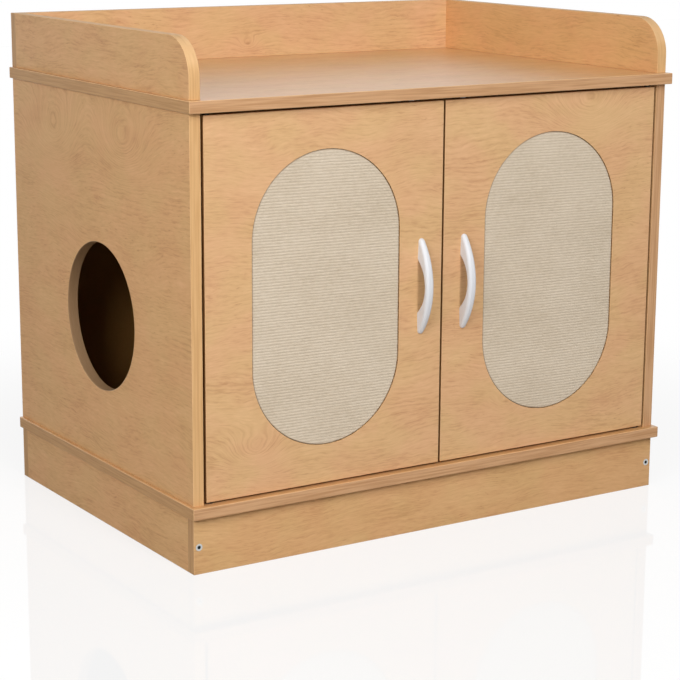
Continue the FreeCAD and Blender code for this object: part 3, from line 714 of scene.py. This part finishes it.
def plastic_finish(name, pale, deep, roughness, grain_size):
    finish = Finish(name, {"IOR": 1.49})
    x, y, z = finish.coordinates("Object")
    fine = 1 / grain_size
    grain = finish.noise(x * fine, y * fine, z * fine, detail=2.0)
    clouds = finish.noise(x * 60, y * 60, z * 60, detail=1.0)
    finish.feed("Base Color", finish.blend(clouds, pale, deep))
    finish.feed("Roughness", roughness + grain * 0.12)
    finish.bump(grain, PLASTIC_RELIEF)
    return finish.material


# pale and deep colour, roughness, and the size of the clouds or of the grain in metres
steel = metal_finish("zinc_plated_steel", ink(176, 180, 184), ink(138, 143, 148), 0.30, 0.0016)
bright_steel = metal_finish("ground_steel", ink(222, 224, 226), ink(196, 199, 202), 0.34, 0.0012)
# the pivot pins are painted dark, as the shade in the gaps where they sit
dark_steel = metal_finish("oiled_dark_steel", ink(74, 68, 62), ink(50, 46, 42), 0.36, 0.0010)
die_cast = metal_finish("die_cast_zinc", ink(190, 192, 194), ink(150, 152, 154), 0.42, 0.0010)
brown_plastic = plastic_finish("brown_plastic", ink(62, 42, 28), ink(48, 32, 20), 0.44, 0.0004)
beech = dowel_finish()
socket_screws = socket_screw_finish()

# %% [markdown]
# The handles are cast in metal and painted a satin white. Paint that is only flat white
# looks like paper, so it gets a clear coat with a soft gloss and the faint orange peel
# that a sprayed surface has. Its colour drifts by a shade or two over the length.

# %% White handle paint
PAINT, PAINT_SHADE = ink(217, 218, 221), ink(210, 211, 215)
PEEL_RELIEF = 0.00002      # how far the orange peel stands out, in metres


def handle_finish():
    finish = Finish("satin_white_paint", {"IOR": 1.45, "Specular IOR Level": 0.25,
                                          "Coat Weight": 0.10, "Coat Roughness": 0.25})
    x, y, z = finish.coordinates("Object")
    drift = finish.noise(x * 40, y * 40, z * 26, detail=1.0)
    peel = finish.noise(x * 900, y * 900, z * 900, detail=1.0)
    finish.feed("Base Color", finish.blend(drift, PAINT, PAINT_SHADE))
    finish.feed("Roughness", 0.42 + peel * 0.10)
    finish.bump(peel, PEEL_RELIEF)
    return finish.material


white_paint = handle_finish()
SMALL_PARTS = (
    # how the name of a node ends, and its material
    ("screws", steel), ("screw", steel), ("nails", steel), ("bolts", steel),
    ("brackets", steel), ("plate", steel), ("pin", dark_steel), ("magnet", bright_steel),
    ("locks", die_cast), ("dowels", beech), ("bush", brown_plastic), ("body", brown_plastic),
    ("handle", white_paint),
)
for ending, material in SMALL_PARTS:
    for node in nodes:
        if node.endswith("_" + ending):
            dress(node, material)
for node in ("plinth_screws", "gallery_corner_screws"):
    dress(node, socket_screws)

# %% [markdown]
# ## The scratch pads
#
# Each pad is a piece of sisal mat: thick round ribs across it, each one a row of
# stitches that lies half a stitch off from the next, pressed into a pocket in the door.
# A bump map would give the ribs no edge against the light, so they are real: a grid
# whose rows follow the ribs, pushed back by the height of the weave. The outline has
# straight sides and half-round ends, and every row is as wide as the outline there.

# %% Weave of a pad
PAD_W = 0.232              # metres
PAD_H = 0.403
RIBS = 101
RIB_PITCH = PAD_H / RIBS
RIB_SKEW = 0.0175          # the mat lies one degree off level: its ribs drop to the right
RIB_DEPTH = 0.0006         # from the top of a rib to the valley beside it
RIB_DRIFT = 0.00022        # how far a rib wanders up and down
SLACK = 0.00015            # how much deeper its top lies in some places
RIB_PHASE, SEED_PHASE = 2.399, 1.7      # the golden angle keeps neighbouring ribs unlike
ROWS_PER_RIB = 8
STITCH = 0.0062            # length of one stitch along a rib
STITCH_DEPTH = 0.00022     # how much deeper a rib lies between two stitches
COLUMNS = 112              # of faces across the pad
RIM = 0.0014               # radius of the pressed-down rim
END_GAP = 0.00005          # the first and last row lie this far inside the outline


def wobble(rib, x, seed):
    """A slow drift from -1 to 1 along one rib, different for each rib and seed."""
    phase = RIB_PHASE * rib + SEED_PHASE * seed
    slow = math.sin(x * 47.0 + phase * 3.1)
    quick = math.sin(x * 131.0 + phase * 5.3)
    return 0.6 * slow + 0.4 * quick


def weave_depth(x, z):
    """How far the sisal lies behind the top of its ribs, z being a height across them."""
    rib = math.floor(z / RIB_PITCH)
    turn = (z / RIB_PITCH - rib) * math.pi
    round_top = 1 - math.sin(turn) ** 0.75
    stitch = math.cos(math.tau * (x / STITCH + 0.5 * (rib % 2)) + 0.8 * wobble(rib, x, 2.0))
    rib_part = round_top * RIB_DEPTH
    stitch_part = (0.5 - 0.5 * stitch) * STITCH_DEPTH * math.sin(turn)
    slack_part = (0.5 + 0.5 * wobble(rib, x, 5.0)) * SLACK
    return rib_part + stitch_part + slack_part


def rim_depth(inside):
    """How far the rim is rounded back, a distance inside the outline."""
    if inside >= RIM:
        return 0.0
    return RIM - math.sqrt(max(0.0, RIM ** 2 - (RIM - inside) ** 2))


def rim_x(height, side):
    """Where a rib at this height of its middle meets the outline on side -1 or 1."""
    radius = PAD_W / 2
    straight = PAD_H / 2 - radius
    if abs(height - side * radius * RIB_SKEW) <= straight:
        return side * radius
    past = height - math.copysign(straight, height)
    squares = 1 + RIB_SKEW ** 2
    root = math.sqrt(max(0.0, squares * radius ** 2 - past ** 2))
    return (RIB_SKEW * past + side * root) / squares


def inside_outline(x, z):
    """Distance from a point of the pad to its outline."""
    radius = PAD_W / 2
    past = max(0.0, abs(z) - (PAD_H / 2 - radius))
    return max(0.0, radius - math.hypot(x, past))


def column_share(column):
    """Column places from 0 to 1, closer together towards the two rims."""
    return 0.5 + 0.5 * math.sin((column / COLUMNS - 0.5) * math.pi)


def make_pad(side):
    """The pad of one door: the woven front, a rim all round, and a flat back."""
    low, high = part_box(side + "_scratch_pad")
    middle_x, middle_z = (low.x + high.x) / 2, (low.z + high.z) / 2
    row_count = RIBS * ROWS_PER_RIB
    mesh = bmesh.new()
    grid = []
    for row in range(row_count + 1):
        height = (row / row_count - 0.5) * PAD_H
        height = min(max(height, END_GAP - PAD_H / 2), PAD_H / 2 - END_GAP)
        left_x, right_x = rim_x(height, -1), rim_x(height, 1)
        line = []
        for column in range(COLUMNS + 1):
            x = left_x + (right_x - left_x) * column_share(column)
            z = height - x * RIB_SKEW
            drift = RIB_DRIFT * wobble(math.floor(height / RIB_PITCH), x, 1.0)
            depth = weave_depth(x, height + drift) + rim_depth(inside_outline(x, z))
            line.append(mesh.verts.new((middle_x + x, low.y + depth, middle_z + z)))
        grid.append(line)
    for lower, upper in zip(grid, grid[1:]):
        for column in range(COLUMNS):
            mesh.faces.new((lower[column], lower[column + 1], upper[column + 1], upper[column]))
    right_rim, left_rim = [line[-1] for line in grid[1:]], [line[0] for line in grid[-2:0:-1]]
    outline = grid[0] + right_rim + grid[-1][-2::-1] + left_rim
    back = [mesh.verts.new((vert.co.x, high.y, vert.co.z)) for vert in outline]
    for index in range(len(outline)):
        following = (index + 1) % len(outline)
        mesh.faces.new((outline[following], outline[index], back[index], back[following]))
    mesh.faces.new(back)
    bmesh.ops.recalc_face_normals(mesh, faces=mesh.faces)
    for face in mesh.faces:
        face.smooth = len(face.verts) == 4
    data = bpy.data.meshes.new(side + "_sisal_pad")
    mesh.to_mesh(data)
    mesh.free()
    pad = bpy.data.objects.new(side + "_sisal_pad", data)
    bpy.context.collection.objects.link(pad)
    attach(pad, side + "_door_leaf")
    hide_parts(side + "_scratch_pad")
    return pad


# %% [markdown]
# Sisal is a stiff plant fibre. Close up, single fibres run along each rib with a little
# twist, some of them straw-coloured and some nearly white, and dirt and shade gather in
# the valleys. The valleys are found from the same sine as the mesh, in the door's own
# coordinates, so the colour stays on the ribs when the door swings. Round the rim, where
# the mat is pressed down into its pocket, a browner band is painted shade from the pocket's
# edge.

# %% Sisal
SISAL_PALE, SISAL, SISAL_DEEP = ink(216, 202, 183), ink(204, 189, 168), ink(181, 164, 140)
SISAL_STOPS = ((0.2, SISAL_PALE), (0.5, SISAL), (0.85, SISAL_DEEP))
VALLEY, VALLEY_SHARE = ink(168, 148, 123), 0.40
VALLEY_FADE = (0.62, 0.05) # of the sine, which is 1 on a rib and 0 between two
# painted shade round the rim, where the pocket's edge shades the mat
RIM_PAINTED_SHADE, RIM_PAINTED_SHADE_SHARE = ink(138, 112, 84), 0.55
RIM_FADE = (PAD_W / 2 - 0.0022, PAD_W / 2 - 0.0004)
FIBRE_RELIEF = 0.00025     # how far the fibres stand out, in metres


def sisal_finish(side):
    low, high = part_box(side + "_scratch_pad")
    middle_x, middle_z = (low.x + high.x) / 2, (low.z + high.z) / 2
    finish = Finish("sisal_" + side, {"IOR": 1.4, "Sheen Weight": 0.15, "Sheen Roughness": 0.5})
    x, y, z = finish.coordinates("Object")
    wave = (z - middle_z + (x - middle_x) * RIB_SKEW) * (math.pi / RIB_PITCH)
    valley = finish.fade(wave.sine().size(), *VALLEY_FADE)
    fibres = finish.noise(x * 90 + z * 60, z * 2600, y * 2600, detail=3.0, roughness=0.65)
    tufts = finish.noise(x * 160, z * 240, y * 10, detail=2.0)
    clouds = finish.noise(x * 12, z * 16, y * 3 + 4.0, detail=3.0)
    tone = fibres * 0.75 + tufts * 0.35 + clouds * 0.35 - 0.22
    colour = finish.ramp(tone, SISAL_STOPS)
    colour = finish.blend(valley * VALLEY_SHARE, colour, VALLEY)
    across = x - middle_x
    past = ((z - middle_z).size() - (PAD_H / 2 - PAD_W / 2)).larger(0.0)
    # the rim band is painted shade from the pocket's edge
    rim = finish.fade((across * across + past * past).root(), *RIM_FADE)
    finish.feed("Base Color", finish.blend(rim * RIM_PAINTED_SHADE_SHARE, colour, RIM_PAINTED_SHADE))
    finish.feed("Roughness", 0.82 + fibres * 0.12)
    finish.bump(fibres, FIBRE_RELIEF)
    return finish.material


for side in ("left", "right"):
    pad = make_pad(side)
    pad.data.materials.append(sisal_finish(side))
    print(pad.name, "has", len(pad.data.polygons), "faces")
